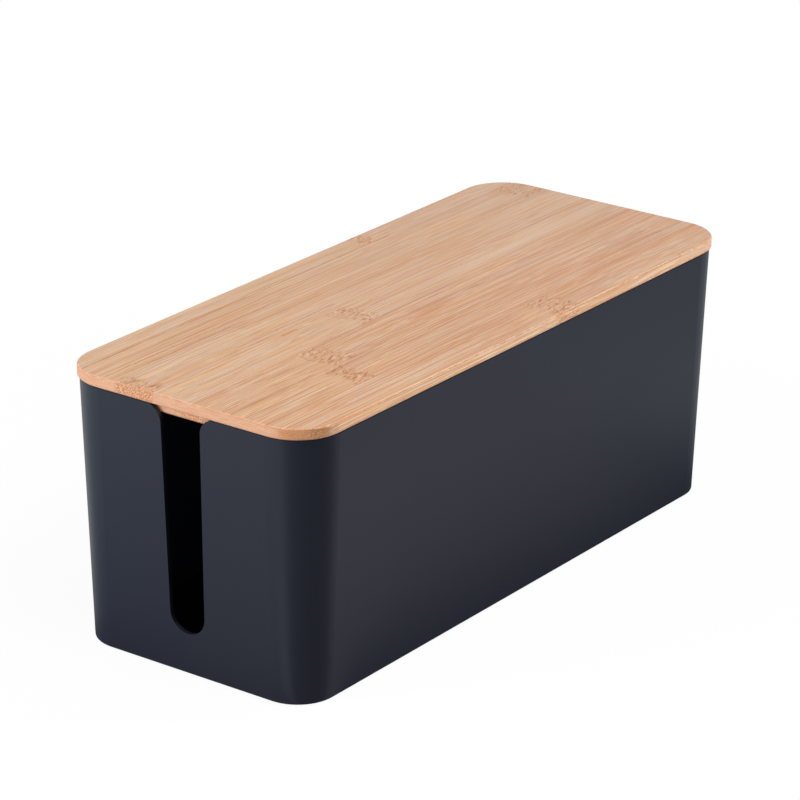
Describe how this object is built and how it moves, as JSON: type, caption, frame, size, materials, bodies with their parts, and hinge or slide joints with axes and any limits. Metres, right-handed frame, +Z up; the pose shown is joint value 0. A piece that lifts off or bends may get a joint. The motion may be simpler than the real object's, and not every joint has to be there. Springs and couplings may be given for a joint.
{
  "type": "cable management box",
  "caption": "Long box that hides a power strip and its leads: a drafted plastic tub with a cable slot in each end wall, closed by a loose bamboo lid.",
  "frame": {"origin": "on the resting plane of the feet, under the middle of the box", "axes": "+X along the box, towards the far end wall; +Y across it; +Z up"},
  "size_m": [0.323, 0.135, 0.1282],
  "materials": {
    "tub_plastic": "fine satin moulding texture, blue-black charcoal",
    "bamboo_face": "sanded and clear oiled, satin",
    "bamboo_backing": "sanded, clear oiled, satin",
    "foot_rubber": "matt, slightly grained"
  },
  "bodies": {
    "tub": {"tub": "tub_plastic", "foot_near_left": "foot_rubber", "foot_near_right": "foot_rubber", "foot_far_left": "foot_rubber", "foot_far_right": "foot_rubber"},
    "lid": {"lid_face_stave_1": "bamboo_face", "lid_face_stave_2": "bamboo_face", "lid_face_stave_3": "bamboo_face", "lid_face_stave_4": "bamboo_face", "lid_face_stave_5": "bamboo_face", "lid_face_stave_6": "bamboo_face", "lid_face_stave_7": "bamboo_face", "lid_backing_stave_1": "bamboo_backing", "lid_backing_stave_2": "bamboo_backing", "lid_backing_stave_3": "bamboo_backing", "lid_backing_stave_4": "bamboo_backing", "lid_backing_stave_5": "bamboo_backing", "lid_backing_stave_6": "bamboo_backing"}
  },
  "joints": [
    {"name": "lid_lift", "type": "slide", "parent": "tub", "child": "lid", "axis": [0, 0, 1], "range_m": [0, 0.15]}
  ]
}
